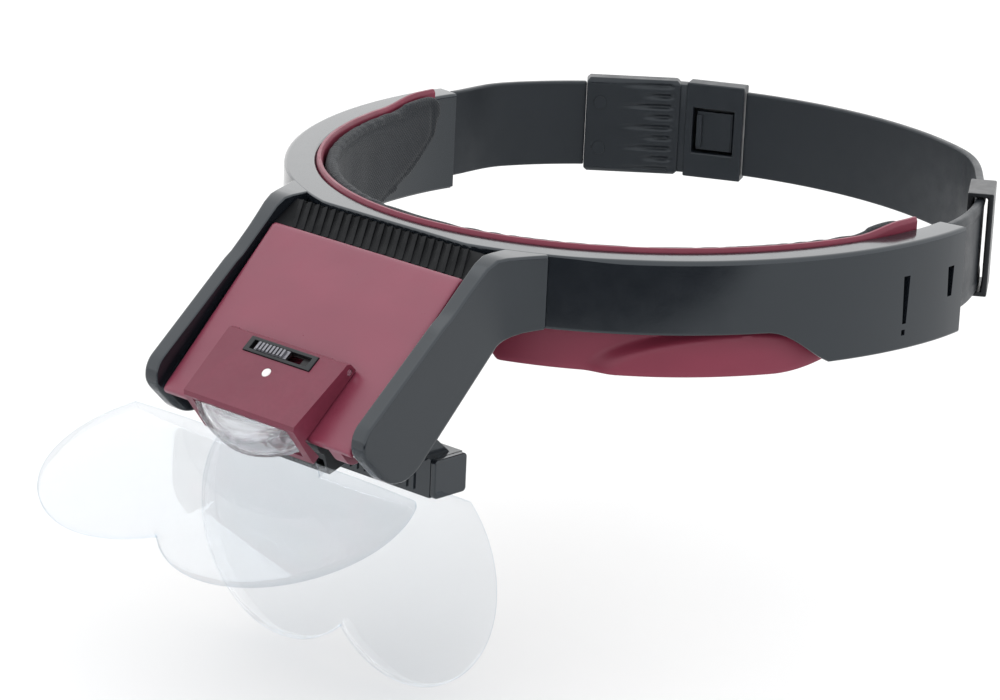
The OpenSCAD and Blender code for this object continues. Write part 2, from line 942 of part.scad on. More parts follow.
module buckle_receiver() {
    len = chord(receiver_start, receiver_end);
    color(plastic_dark) {
        on_chord(receiver_start, receiver_end)
            difference() {
                block([-len / 2, -3.4, -buckle_h / 2], [len / 2, 1.6, buckle_h / 2]);
                // window that the release tab moves in
                block([-len / 2 + 2, -5, -5.9], [len / 2 - 2.4, 3, 5.9]);
            }
        // tongue that goes into the other half
        on_chord(buckle_start, buckle_end)
            block([2, -1.6, -8], [chord(buckle_start, buckle_end) / 2 + 3.6, 0.2, 8]);
    }
}

module release_tab() {
    len = chord(receiver_start, receiver_end);
    root = len / 2 - 2.52 - tab_bead_r;
    color(plastic_black)
    on_chord(receiver_start, receiver_end) {
        block([-len / 2 + 3, -2.6, -5], [root, -1, 5]);
        // raised thumb edge
        block([-len / 2 + 3, -3.2, -4.2], [-len / 2 + 4.4, -2.4, 4.2]);
        translate([root, -1.8, -5])
            cylinder(r = tab_bead_r, h = 10);
    }
}

front_band();
sweatband_liner();
foam_pad();
visor_frame();
slot_grille();
lamp_panel();
battery_case();
battery_door();
door_hinge_pin();
batteries();
battery_contacts();
case_screws();
lamp_hinge_pins();
lamp_housing();
lamp_back_cover();
circuit_board();
leds();
reflector();
lamp_window();
indicator_lens();
switch_bezel();
switch_slider();
front_hinge_rod();
front_lens_clip();
front_lens();
lens_bar();
bar_end_caps();
bar_pivot_pins();
lens_springs();
rear_lens();
strap_left();
strap_right();
strap_loop();
buckle_body();
buckle_receiver();
release_tab();
buckle_rivets();
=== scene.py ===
"""Looks of the head visor magnifier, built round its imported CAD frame.

Shapes are worked out in millimetres and scaled to metres when a mesh is made.
+Z is up, the wearer faces -Y and +X is the wearer's left.
"""

import math

import bmesh
import bpy
from mathutils import Matrix, Vector


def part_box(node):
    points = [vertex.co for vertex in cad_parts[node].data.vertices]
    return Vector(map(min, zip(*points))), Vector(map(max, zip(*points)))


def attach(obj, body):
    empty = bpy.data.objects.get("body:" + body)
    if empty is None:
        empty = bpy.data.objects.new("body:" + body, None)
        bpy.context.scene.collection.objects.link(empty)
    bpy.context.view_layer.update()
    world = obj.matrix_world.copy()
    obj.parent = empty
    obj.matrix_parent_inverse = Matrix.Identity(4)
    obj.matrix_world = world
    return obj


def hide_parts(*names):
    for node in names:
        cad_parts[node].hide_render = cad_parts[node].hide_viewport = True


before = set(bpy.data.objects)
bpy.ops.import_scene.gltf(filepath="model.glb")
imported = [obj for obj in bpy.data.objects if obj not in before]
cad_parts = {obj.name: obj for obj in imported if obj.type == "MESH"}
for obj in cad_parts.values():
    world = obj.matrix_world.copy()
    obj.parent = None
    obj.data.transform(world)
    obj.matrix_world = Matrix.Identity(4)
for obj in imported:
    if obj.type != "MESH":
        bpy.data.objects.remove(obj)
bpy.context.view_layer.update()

MM = 0.001


def box_mm(node):
    """Lowest and highest corner of a CAD node, in millimetres."""
    low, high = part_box(node)
    return low / MM, high / MM


# ---- sizes, from the frame where it holds them --------------------------------

band_low_corner, band_high_corner = box_mm("front_band")
HALF_W = band_high_corner.x         # half of the band's width
BAND_FLAT = -band_low_corner.y      # distance to the flat front face
BAND_TOP = band_high_corner.z
BAND_LOW = band_low_corner.z
BROW_LOW = -6.0                     # the band's lower edge at the brow
BAND_REAR = 79.3                    # half depth of the oval's rear half
RIM_W = 7.5                         # width of the band's top rim
WALL = 2.2
LIP_DEPTH = 7.0                     # how far the inner lip hangs down from the rim
BAND_END = math.degrees(math.asin(band_high_corner.y / BAND_REAR)) + 90
SLEEVE_START = 78.0                 # where the strap sleeve begins, degrees from the front
STEP = (-46.0, -27.0)               # y where the lower edge starts and ends its step
STEP_DROP = 9.2
SLOTS = ((-11.4, -9.4, -7.9, 3.3, 0.6),     # y0, y1, z0, z1 and the width left at the foot
         (4.3, 6.7, -4.2, 2.9, 0.7),
         (-11.1, -10.0, -10.6, -9.3, 1.0))

LINER_OFF = -7.6                    # the liner's outer face, inward from the oval
LINER_T = 1.5
LINER_END = 91.0                    # degrees from the front
PAD_OFF = -9.3                      # the pad's outer face, inward from the oval
PAD_T = 4.3
LOBE = (-84.0, 5.0)                 # y where the temple lobes start and end

BAND_FRONT = -LINER_OFF - box_mm("sweatband_liner")[0].y    # half depth of its front half

PANEL_TOP = (-98.7, 6.4)            # y, z of the lamp panel's top edge
PANEL_LEN = 46.7
PANEL_HALF_W = box_mm("lamp_panel")[1].x
CROWN_END = 27.0                    # the panel is flat below this, where the lamp tilts
C45 = math.sqrt(0.5)
ARM_INNER = 30.8
ARM_OUTER = 35.0
ARM_END = 47.4                      # distance down the slope to the arms' lower ends
ARM_REAR = -16.3                    # the arms' rear edge, below the panel's plane
ARM_BEND = 12.0                     # distance down the slope to the kink in their front edge
ARM_PROUD = (0.6, 1.3, 3.6)         # that edge above the plane: at the top, kink and nose
NOSE_FRONT = (41.6, -2.2, 5.8)      # rounding of the arms' ends: s, h and radius
NOSE_REAR = (38.4, -7.3, 9.0)

LENS_T = 2.2
LENS_GAP = 19.5                     # half of the distance between a plate's lobes
LENS_POLE = (12.0, 0.0)             # middle of the mesh of half a plate
LENS_ROUND = 0.55                   # rounding of a plate's edge, and a point half way round it
LENS_BEVEL = 0.16
ON_MIDDLE = 0.01                    # points nearer the middle line than this lie on it
FRONT_LENS_R = 29.0
REAR_LENS_R = 27.3
TAB = (14.4, 20.4)                  # half width and height of the front plate's tab
FRONT_CUT = 14.4                    # height at which the front lobes are cut level
HEAD = (30.4, 27.4)                 # half width and height of the rear plate's head
REAR_CUT = 20.4
FRONT_AXIS = (-124.0, -29.5)        # y, z of the front lens hinge
FRONT_CENTRE = (-139.5, -40.3)
FRONT_DROOP = math.radians(18)
REAR_CENTRE = (-102.0, -63.0)

STRAP_H = box_mm("strap_left")[1].z * 2
STRAP_T = 2.0
RECEIVER_START = 213.5              # degrees from the front, by way of the left
RECEIVER_END = 203.1
BUCKLE_START = 232.1
BUCKLE_END = 215.2
BUCKLE_H = 24.8

PHOTO_AZIMUTH = 42.52
PHOTO_ELEVATION = 17.04
PHOTO_ROLL = 2.6
CAMERA_PLACE = (0.6135, -0.7219, 0.2520)
CAMERA_LENS = 146.85

FLOOR = -92.5


# ---- helpers: curves and outlines ---------------------------------------------

def ease(u):
    """Smooth step from 0 to 1."""
    v = min(max(u, 0.0), 1.0)
    return v * v * (3 - 2 * v)


def mix(a, b, u):
    return a + (b - a) * u


def oval(t, off=0.0):
    """Point of the headband's oval, t degrees from the front, moved out by off."""
    a = math.radians(t)
    depth = BAND_FRONT if math.cos(a) > 0 else BAND_REAR
    return (HALF_W + off) * math.sin(a), -(depth + off) * math.cos(a)


def flat_oval(t, off=0.0):
    """The same point, held back to the band's flat front face."""
    x, y = oval(t, off)
    return (x, max(y, -(BAND_FLAT + off))) if off > -4 else (x, y)


def slope(x, s, h):
    """A point s down the lamp panel's slope and h out from it."""
    return x, PANEL_TOP[0] - C45 * (s + h), PANEL_TOP[1] - C45 * (s - h)


def rounded(corners, radii, steps=4):
    """Closed outline through the corners, each rounded over its radius."""
    points = []
    for i, corner in enumerate(corners):
        c = Vector(corner)
        back = Vector(corners[i - 1]) - c
        ahead = Vector(corners[(i + 1) % len(corners)]) - c
        r = radii[i] if isinstance(radii, (list, tuple)) else radii
        start = c + back.normalized() * min(r, back.length * 0.49)
        end = c + ahead.normalized() * min(r, ahead.length * 0.49)
        for k in range(steps + 1):
            u = k / steps
            points.append(start * (1 - u) ** 2 + c * (2 * u * (1 - u)) + end * u * u)
    return points


def spread(start, end, step):
    """Evenly spaced values from start to end, about step apart."""
    n = max(1, math.ceil(abs(end - start) / step))
    return [mix(start, end, i / n) for i in range(n + 1)]


# ---- helpers: meshes ------------------------------------------------------------

def loft(rings):
    """Vertices and faces of a solid through rings of equally many points."""
    n = len(rings[0])
    verts = [tuple(p) for ring in rings for p in ring]
    faces = [(i * n + j, i * n + (j + 1) % n, (i + 1) * n + (j + 1) % n, (i + 1) * n + j)
             for i in range(len(rings) - 1) for j in range(n)]
    last = (len(rings) - 1) * n
    faces.append(tuple(reversed(range(n))))
    faces.append(tuple(last + j for j in range(n)))
    return verts, faces


def prism(outline, x0, x1, place):
    """A solid between x0 and x1 with an outline that place() puts into the frame."""
    return loft([[place(x, *p) for p in outline] for x in (x0, x1)])


def block(low, high, place, radius=0.4):
    """A box with softened edges whose corners place() puts into the frame."""
    inset = min(radius, (high[0] - low[0]) * 0.45)
    rings = []
    for x, shrink in ((low[0], inset), (low[0] + inset * 0.3, inset * 0.3), (low[0] + inset, 0),
                      (high[0] - inset, 0), (high[0] - inset * 0.3, inset * 0.3), (high[0], inset)):
        a = (low[1] + shrink, low[2] + shrink)
        b = (high[1] - shrink, high[2] - shrink)
        outline = rounded([a, (b[0], a[1]), b, (a[0], b[1])], radius, 2)
        rings.append([place(x, *p) for p in outline])
    return loft(rings)


def joined(*solids):
    """Several solids as one list of vertices and faces."""
    verts, faces = [], []
    for v, f in solids:
        start = len(verts)
        verts.extend(v)
        faces.extend(tuple(start + i for i in face) for face in f)
    return verts, faces


def mirrored(solid):
    """The solid and its mirror image across the middle."""
    verts, faces = solid
    image = [(-x, y, z) for x, y, z in verts], [tuple(reversed(f)) for f in faces]
    return joined(solid, image)


def new_object(name, solid):
    """A mesh object in the frame from a solid in millimetres."""
    mesh = bpy.data.meshes.new(name)
    mesh.from_pydata([Vector(v) * MM for v in solid[0]], [], solid[1])
    bm = bmesh.new()
    bm.from_mesh(mesh)
    bmesh.ops.remove_doubles(bm, verts=bm.verts, dist=2e-6)
    bmesh.ops.recalc_face_normals(bm, faces=bm.faces)
    bm.to_mesh(mesh)
    bm.free()
    for face in mesh.polygons:
        face.use_smooth = True
    obj = bpy.data.objects.new(name, mesh)
    bpy.context.scene.collection.objects.link(obj)
    return obj


def apply_modifiers(obj):
    """Replaces the mesh by what its modifiers make of it."""
    depsgraph = bpy.context.evaluated_depsgraph_get()
    obj.data = bpy.data.meshes.new_from_object(obj.evaluated_get(depsgraph))
    obj.modifiers.clear()


def cut(obj, solid):
    """Takes a solid out of the object."""
    cutter = new_object("cutter", solid)
    modifier = obj.modifiers.new("cut", "BOOLEAN")
    modifier.operation = "DIFFERENCE"
    modifier.solver = "EXACT"
    modifier.object = cutter
    apply_modifiers(obj)
    bpy.data.objects.remove(cutter)


def soften(obj, width, angle=40):
    """Rounds the edges that are still sharp, and shades the rest smoothly."""
    bevel = obj.modifiers.new("edges", "BEVEL")
    bevel.width = width * MM
    bevel.segments = 3
    bevel.limit_method = "ANGLE"
    bevel.angle_limit = math.radians(angle)
    bevel.use_clamp_overlap = True
    weighted = obj.modifiers.new("shading", "WEIGHTED_NORMAL")
    weighted.keep_sharp = True


def piece(name, solid, material, body, nodes, edge=0.3):
    """A finished piece that rides on a body and stands for its CAD nodes."""
    obj = new_object(name, solid)
    return finish_piece(obj, material, body, nodes, edge)


def finish_piece(obj, material, body, nodes, edge=0.3):
    """Gives an object its material and soft edges, and puts it on its body."""
    obj.data.materials.clear()
    obj.data.materials.append(material)
    if edge:
        soften(obj, edge)
    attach(obj, body)
    if nodes:
        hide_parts(*nodes)
    return obj


# ---- helpers: materials ---------------------------------------------------------

class Nodes:
    """A material's node tree with short ways to add and join nodes."""

    def __init__(self, name):
        self.material = bpy.data.materials.new(name)
        self.material.use_nodes = True
        self.tree = self.material.node_tree
        self.shader = self.tree.nodes["Principled BSDF"]
        self.output = self.tree.nodes["Material Output"]
        self.place = self.add("TexCoord").outputs["Object"]

    def add(self, kind, **settings):
        node = self.tree.nodes.new("ShaderNode" + kind)
        for key, value in settings.items():
            setattr(node, key, value)
        return node

    def join(self, source, target):
        self.tree.links.new(source, target)

    def noise(self, scale, detail=3.0, stretch=None):
        """Noise with features about 1/scale metres wide."""
        node = self.add("TexNoise")
        node.inputs["Scale"].default_value = scale
        node.inputs["Detail"].default_value = detail
        where = self.place
        if stretch:
            mapping = self.add("Mapping")
            mapping.inputs["Scale"].default_value = stretch
            self.join(self.place, mapping.inputs["Vector"])
            where = mapping.outputs["Vector"]
        self.join(where, node.inputs["Vector"])
        return node.outputs["Fac"]

    def math(self, operation, a, b=None):
        node = self.add("Math", operation=operation)
        for value, socket in ((a, node.inputs[0]), (b, node.inputs[1])):
            if value is None:
                continue
            if isinstance(value, (int, float)):
                socket.default_value = value
            else:
                self.join(value, socket)
        return node.outputs[0]

    def ranged(self, value, low, high, start=0.3, end=0.7):
        """The value's span from start to end, spread over low to high."""
        node = self.add("MapRange")
        self.join(value, node.inputs["Value"])
        for key, number in (("From Min", start), ("From Max", end), ("To Min", low), ("To Max", high)):
            node.inputs[key].default_value = number
        return node.outputs["Result"]

    def blend(self, factor, a, b):
        """Colour a where the factor is 0 and b where it is 1."""
        node = self.add("Mix", data_type="RGBA")
        self.join(factor, node.inputs["Factor"])
        for value, socket in ((a, node.inputs[6]), (b, node.inputs[7])):
            if isinstance(value, (tuple, list)):
                socket.default_value = (*value, 1)
            else:
                self.join(value, socket)
        return node.outputs[2]

    def bump(self, height, strength, distance, normal=None):
        node = self.add("Bump")
        node.inputs["Strength"].default_value = strength
        node.inputs["Distance"].default_value = distance * MM
        self.join(height, node.inputs["Height"])
        if normal is not None:
            self.join(normal, node.inputs["Normal"])
        return node.outputs["Normal"]

    def edges(self):
        """1 along convex edges, 0 on flats, broken up by noise."""
        point = self.add("NewGeometry").outputs["Pointiness"]
        edge = self.ranged(point, 0.0, 1.0, 0.515, 0.58)
        return self.math("MULTIPLY", edge, self.ranged(self.noise(900), 0.2, 1.0))

    def set(self, **values):
        names = {"rough": "Roughness", "colour": "Base Color", "normal": "Normal",
                 "metal": "Metallic", "ior": "IOR", "coat": "Coat Weight",
                 "sheen": "Sheen Weight", "sheen_rough": "Sheen Roughness",
                 "glass": "Transmission Weight", "soft": "Subsurface Weight",
                 "gloss_tint": "Specular Tint"}
        for key, value in values.items():
            socket = self.shader.inputs[names[key]]
            if isinstance(value, bpy.types.NodeSocket):
                self.join(value, socket)
            elif isinstance(value, tuple):
                socket.default_value = (*value, 1)
            else:
                socket.default_value = value


def scaled(colour, factor):
    return tuple(c * factor for c in colour)


def slot_shade_mask(m, node, margin=0.95):
    """1 inside the slot that a node frames on the lamp's sloping face, 0 around it; it masks the
    slot's painted shade.
    """
    low, high = box_mm(node)
    parts = m.add("SeparateXYZ")
    m.join(m.place, parts.inputs[0])

    def near(value, middle, reach):
        away = m.math("ABSOLUTE", m.math("SUBTRACT", value, middle * MM))
        return m.math("LESS_THAN", away, reach * MM)

    across = near(parts.outputs["X"], (low[0] + high[0]) / 2, (high[0] - low[0]) / 2 - margin)
    drop = m.math("ADD", parts.outputs["Y"], parts.outputs["Z"])
    reach = (high[2] - low[2]) / 2 / C45 - margin
    down = near(drop, (low[1] + high[1] + low[2] + high[2]) / 2, reach / C45)
    return m.math("MULTIPLY", across, down)


def moulded(name, colour, rough=0.3, grain=1400, grain_depth=0.02, ior=1.45, wear=1.6,
            shade_slot_framed_by=None):
    """Moulded plastic: fine texture, faint flow marks, paler rubbed edges.

    With a frame node given, the slot inside that node's frame is painted nearly black, as painted
    shade in its recess.
    """
    m = Nodes(name)
    flow = m.noise(55, 2.0, (1.0, 1.0, 2.2))
    base = m.blend(m.ranged(flow, 0.0, 1.0), scaled(colour, 0.95), scaled(colour, 1.05))
    wear_and_slot_shade = m.blend(m.math("MULTIPLY", m.edges(), 0.5), base, scaled(colour, wear))
    if shade_slot_framed_by:
        # painted shade: the slot inside the frame is painted nearly black
        wear_and_slot_shade = m.blend(slot_shade_mask(m, shade_slot_framed_by), wear_and_slot_shade, scaled(colour, 0.03))
    roughness = m.math("ADD", m.ranged(m.noise(240), rough * 0.85, rough * 1.15),
                       m.ranged(m.noise(2600), -0.02, 0.03))
    fine = m.bump(m.noise(grain, 2.0), 0.35, grain_depth)
    m.set(colour=wear_and_slot_shade, rough=roughness, normal=m.bump(flow, 0.1, 0.06, fine), ior=ior,
          gloss_tint=(0.88, 0.95, 1.0))
    return m.material


def brushed_metal(name, colour, rough=0.22, stretch=(0.15, 1.0, 1.0)):
    """Metal with fine drawing marks along x."""
    m = Nodes(name)
    lines = m.noise(5200, 2.0, stretch)
    base = m.blend(m.ranged(m.noise(300), 0.0, 1.0), scaled(colour, 0.86), colour)
    m.set(colour=base, metal=1.0, rough=m.ranged(lines, rough * 0.7, rough * 1.6),
          normal=m.bump(lines, 0.3, 0.01))
    return m.material


def fabric(name, colour):
    """Plain-woven cloth on the inside of the band, threads along and across it."""
    m = Nodes(name)
    parts = m.add("SeparateXYZ")
    m.join(m.place, parts.inputs[0])
    turn = m.math("ARCTAN2", parts.outputs["X"], parts.outputs["Y"])
    pitch = 0.5 * MM
    radius = 0.078
    across = m.math("SINE", m.math("MULTIPLY", turn, radius * math.pi / pitch))
    along = m.math("SINE", m.math("MULTIPLY", parts.outputs["Z"], math.pi / pitch))
    over = m.math("GREATER_THAN", m.math("MULTIPLY", across, along), 0.0)
    warp = m.math("MULTIPLY", m.math("ABSOLUTE", across), over)
    weft = m.math("MULTIPLY", m.math("ABSOLUTE", along), m.math("SUBTRACT", 1.0, over))
    weave = m.math("ADD", warp, weft)
    fuzz = m.noise(3200, 4.0)
    tone = m.math("MULTIPLY", m.ranged(weave, 0.55, 1.0, 0.0, 1.0), m.ranged(fuzz, 0.8, 1.15))
    mottle = m.ranged(m.noise(70, 3.0), 0.85, 1.15)
    shade = m.math("MULTIPLY", tone, mottle)
    base = m.blend(shade, scaled(colour, 0.3), scaled(colour, 1.25))
    normal = m.bump(weave, 0.7, 0.12, m.bump(fuzz, 0.4, 0.06))
    m.set(colour=base, rough=m.ranged(fuzz, 0.75, 0.92), normal=normal, sheen=0.1,
          sheen_rough=0.45, ior=1.35)
    return m.material


def clear_plastic(name, tint, depth_tint, density, clarity, rough=0.015, ripple=0.0):
    """Clear acrylic whose colour gathers along its edges; its shadow stays light.

    Clarity is the share of light that goes straight through a thin plate.
    """
    m = Nodes(name)
    smear = m.noise(45, 3.0)
    m.set(colour=tint, glass=1.0, ior=1.49,
          rough=m.ranged(smear, rough, rough * 2.5),
          normal=m.bump(m.noise(160 if ripple else 30, 1.0), 0.08, 0.05 + ripple))
    absorb = m.add("VolumeAbsorption")
    absorb.inputs["Color"].default_value = (*depth_tint, 1)
    absorb.inputs["Density"].default_value = density
    m.join(absorb.outputs[0], m.output.inputs["Volume"])
    see_through = m.add("BsdfTransparent")
    rim = m.add("LayerWeight")
    rim.inputs["Blend"].default_value = 0.35
    m.join(m.blend(m.ranged(rim.outputs["Facing"], 0.0, 1.0, 0.45, 1.0), scaled(tint, 0.955),
                   (0.62, 0.69, 0.76)), see_through.inputs["Color"])
    swap = m.add("MixShader")
    path = m.add("LightPath")
    unseen = m.math("MAXIMUM", path.outputs["Is Shadow Ray"], path.outputs["Is Diffuse Ray"])
    m.join(m.math("MAXIMUM", unseen, clarity), swap.inputs[0])
    m.join(m.shader.outputs[0], swap.inputs[1])
    m.join(see_through.outputs[0], swap.inputs[2])
    m.join(swap.outputs[0], m.output.inputs["Surface"])
    return m.material


def printed_board(name):
    """Green solder mask over copper tracks."""
    m = Nodes(name)
    tracks = m.add("TexBrick")
    tracks.inputs["Scale"].default_value = 420
    tracks.inputs["Mortar Size"].default_value = 0.03
    m.join(m.place, tracks.inputs["Vector"])
    base = m.blend(tracks.outputs["Fac"], (0.02, 0.13, 0.05), (0.05, 0.26, 0.1))
    m.set(colour=base, rough=m.ranged(m.noise(700), 0.2, 0.4),
          normal=m.bump(tracks.outputs["Fac"], 0.3, 0.03))
    return m.material


def cell_wrap(name):
    """Shrink-wrapped battery: a dark sleeve with a plain band near one end."""
    m = Nodes(name)
    parts = m.add("SeparateXYZ")
    m.join(m.place, parts.inputs[0])
    band = m.math("GREATER_THAN", m.math("ABSOLUTE", parts.outputs["X"]), 13 * MM)
    base = m.blend(band, (0.03, 0.07, 0.16), (0.45, 0.33, 0.12))
    wrinkle = m.noise(500, 3.0, (0.3, 1.0, 1.0))
    m.set(colour=base, rough=m.ranged(wrinkle, 0.22, 0.36), normal=m.bump(wrinkle, 0.3, 0.04),
          metal=0.3)
    return m.material


def lamp_epoxy(name):
    """Milky lamp body over a yellow phosphor core."""
    m = Nodes(name)
    core = m.add("LayerWeight")
    core.inputs["Blend"].default_value = 0.4
    base = m.blend(core.outputs["Facing"], (0.9, 0.75, 0.3), (0.92, 0.93, 0.9))
    m.set(colour=base, rough=m.ranged(m.noise(900), 0.08, 0.2), coat=0.6, soft=0.2,
          normal=m.bump(m.noise(400), 0.1, 0.02))
    return m.material


# ---- headband -------------------------------------------------------------------

def band_low_at(y):
    """Height of the band's stepped lower edge."""
    step = ease((y - STEP[0]) / (STEP[1] - STEP[0]))
    return max(BAND_LOW, BROW_LOW - STEP_DROP * step)


def band_section(t):
    """Cross-section of the band: outer wall, broad top rim and inner lip."""
    low = band_low_at(oval(t)[1])
    lip = mix(BAND_TOP - LIP_DEPTH, BAND_LOW + 0.6, ease((abs(t) - SLEEVE_START + 1) / 2))
    shoulder = mix(0.5, 1.1, ease((abs(t) - 30) / 10))
    inner = -RIM_W
    under = BAND_TOP - WALL
    corners = [(0, low), (0, BAND_TOP), (inner, BAND_TOP), (inner + 0.1, lip),
               (inner + 1.3, lip), (inner + 1.3, under), (-WALL, under), (-WALL, low)]
    outline = rounded(corners, [0.7, shoulder, 0.8, 0.4, 0.4, 0.3, 0.3, 0.6])
    return [(*flat_oval(t, p[0]), p[1]) for p in outline]


def slot_cutter(y0, y1, z0, z1, foot):
    """A through-slot in the band's side that narrows to its foot."""
    middle = (y0 + y1) / 2
    half = (y1 - y0) / 2
    outline = [(middle - half * foot, z0), (middle + half * foot, z0), (y1, z1), (y0, z1)]
    return mirrored(prism(outline, 79.6, 87.0, lambda x, y, z: (x, y, z)))


def build_band(material):
    turns = spread(-BAND_END, BAND_END, 1.2)
    obj = new_object("headband_shell", loft([band_section(t) for t in turns]))
    cut(obj, joined(*(slot_cutter(*slot) for slot in SLOTS)))
    for face in obj.data.polygons:
        face.use_smooth = True
    finish_piece(obj, material, "headband", ["front_band"], 0.25)
    floor = [[(*oval(t, p[0]), p[1]) for p in
              rounded([(-1.2, BAND_LOW + 0.3), (-1.2, BAND_LOW + 2), (-RIM_W + 0.4, BAND_LOW + 2),
                       (-RIM_W + 0.4, BAND_LOW + 0.3)], 0.3)]
             for t in spread(SLEEVE_START, BAND_END - 0.2, 3)]
    piece("strap_sleeve_floors", mirrored(loft(floor)), material, "headband", [])


def lobe_depth(y):
    """How far the lining hangs below its brow edge, 0 to 1."""
    u = (y - LOBE[0]) / (LOBE[1] - LOBE[0])
    return ease(min(u * 30, (1 - u) * 2)) if 0 < u < 1 else 0.0


def lining_low(y):
    return BROW_LOW + 1.5 - 12.5 * lobe_depth(y)


def lining_top(y):
    return BAND_TOP + 0.8 + 1.7 * ease((y + 18) / 14)


def round_end(t, end, radius):
    """Share of the full height left where an end is rounded off."""
    reach = math.radians(max(0.0, end - abs(t))) * HALF_W
    return math.sqrt(max(0.0, 1 - (1 - min(reach / radius, 1.0)) ** 2))


def lobe_bulge(y, z):
    """Raised oval panel on each temple lobe, with a crisp edge."""
    along = (y + 45) / 27
    up = (z + 16.5) / 10.4
    inside = 1 - along * along - up * up
    return 2.4 * ease(inside / 0.34) + 0.8 * ease(inside)


def liner_ring(t):
    """Cross-section of the liner: a sheet with a rolled top edge and raised lobes."""
    y = oval(t, LINER_OFF)[1]
    top = lining_top(y)
    low = mix(lining_low(y), top - 7, 1 - round_end(t, LINER_END, 16))
    rows = 44
    ring = []
    for i in range(rows + 1):
        z = mix(top, low, i / rows)
        end = min(top - z, z - low)
        off = LINER_OFF - 0.35 + 0.35 * ease(end / 0.9) + lobe_bulge(y, z)
        ring.append((*oval(t, off), z))
    for i in range(rows + 1):
        z = mix(low, top, i / rows)
        end = min(top - z, z - low)
        off = LINER_OFF - LINER_T + 0.45 - 0.45 * ease(end / 0.9)
        ring.append((*oval(t, off), z))
    return ring


def build_liner(material):
    solid = loft([liner_ring(t) for t in spread(-LINER_END, LINER_END, 0.5)])
    piece("temple_liner", solid, material, "headband", ["sweatband_liner"], 0.25)


def pad_limits(t):
    """Lower and upper edge of the pad; its ends are rounded off."""
    y = oval(t, PAD_OFF)[1]
    low = lining_low(y) + 0.9
    high = lining_top(y) + 0.2
    middle = mix(low, high, 0.75)
    low = mix(middle, low, max(round_end(t, LINER_END - 0.5, 16), 0.1))
    high = mix(middle, high, max(round_end(t, LINER_END - 0.5, 4), 0.1))
    return low, high


def pad_ring(t, inset, thickness):
    low, high = pad_limits(t)
    low += inset
    high -= inset
    outer = PAD_OFF - 0.4
    corners = [(outer, low), (outer, high), (outer - thickness, high), (outer - thickness, low)]
    ring = []
    steps = 8
    for i, corner in enumerate(corners):
        ahead = corners[(i + 1) % 4]
        for k in range(steps):
            p = (mix(corner[0], ahead[0], k / steps), mix(corner[1], ahead[1], k / steps))
            ring.append((*oval(t, p[0]), p[1]))
    return ring


def offset_of(point):
    """How far a point in millimetres lies outside the oval, along the radius."""
    depth = BAND_FRONT if point.y < 0 else BAND_REAR
    share = math.hypot(point.x / HALF_W, point.y / depth)
    return math.hypot(point.x, point.y) * (1 - 1 / share)


def held_back(point, before, reach):
    """The point, no further than reach from where it was and kept off the liner."""
    move = point - before
    if move.length > reach * MM:
        move *= reach * MM / move.length
    place = (before + move) / MM
    beyond = offset_of(place) - PAD_OFF
    if beyond > 0:
        place -= Vector((place.x, place.y, 0)).normalized() * beyond
    return place * MM


def simulate_padding(obj, voxel, pressure, reach):
    """Blows the pad up as sewn cloth, and keeps it off the liner behind it."""
    remesh = obj.modifiers.new("voxels", "REMESH")
    remesh.mode = "VOXEL"
    remesh.voxel_size = voxel * MM
    apply_modifiers(obj)
    rest = [v.co.copy() for v in obj.data.vertices]
    cloth = obj.modifiers.new("cloth", "CLOTH")
    cloth.settings.use_pressure = True
    cloth.settings.uniform_pressure_force = pressure
    cloth.settings.effector_weights.gravity = 0
    cloth.settings.tension_stiffness = 30
    cloth.settings.compression_stiffness = 30
    cloth.settings.bending_stiffness = 12
    cloth.point_cache.frame_start = 1
    cloth.point_cache.frame_end = 20
    for step in range(1, 21):
        bpy.context.scene.frame_set(step)
    apply_modifiers(obj)
    for vertex, before in zip(obj.data.vertices, rest):
        vertex.co = held_back(vertex.co, before, reach)
    bpy.context.scene.frame_set(1)


def sew_pad_edge(obj):
    """Presses a sewn line into the pad's inner face, a little inside its edge."""
    for vertex in obj.data.vertices:
        p = vertex.co / MM
        depth = offset_of(p) - PAD_OFF
        if depth > -1.5:
            continue
        t = math.degrees(math.atan2(p.x / HALF_W, -p.y / BAND_FRONT))
        low, high = pad_limits(t)
        edge = min(p.z - low, high - p.z, math.radians(LINER_END - 1 - abs(t)) * HALF_W)
        groove = math.exp(-((edge - 3.0) / 0.6) ** 2)
        radial = Vector((p.x, p.y, 0)).normalized()
        vertex.co = (p + radial * 0.5 * groove) * MM


def build_pad(material):
    thickness = PAD_T - 1.2
    rings = [pad_ring(t, 0.6, thickness) for t in spread(0.7 - LINER_END, LINER_END - 0.7, 1.2)]
    obj = new_object("brow_pad", loft(rings))
    simulate_padding(obj, 1.5, 4.0, 0.8)
    smooth = obj.modifiers.new("smooth", "SUBSURF")
    smooth.levels = 1
    apply_modifiers(obj)
    sew_pad_edge(obj)
    for face in obj.data.polygons:
        face.use_smooth = True
    finish_piece(obj, material, "headband", ["foam_pad"], 0)


# ---- visor ----------------------------------------------------------------------

def arm_top(s):
    """Height of an arm's front edge above the panel's plane."""
    along, centre, radius = NOSE_FRONT
    if s < ARM_BEND:
        return ARM_PROUD[0] + 4.05 * ease(s / 60)
    if s < along:
        return mix(ARM_PROUD[1], ARM_PROUD[2], (s - ARM_BEND) / (along - ARM_BEND))
    return centre + math.sqrt(max(0.0, radius ** 2 - (s - along) ** 2))


def arm_back(s):
    """Height of an arm's rear edge, below the panel's plane."""
    along, centre, radius = NOSE_REAR
    if s < along:
        return ARM_REAR
    return centre - math.sqrt(max(0.0, radius ** 2 - (s - along) ** 2))


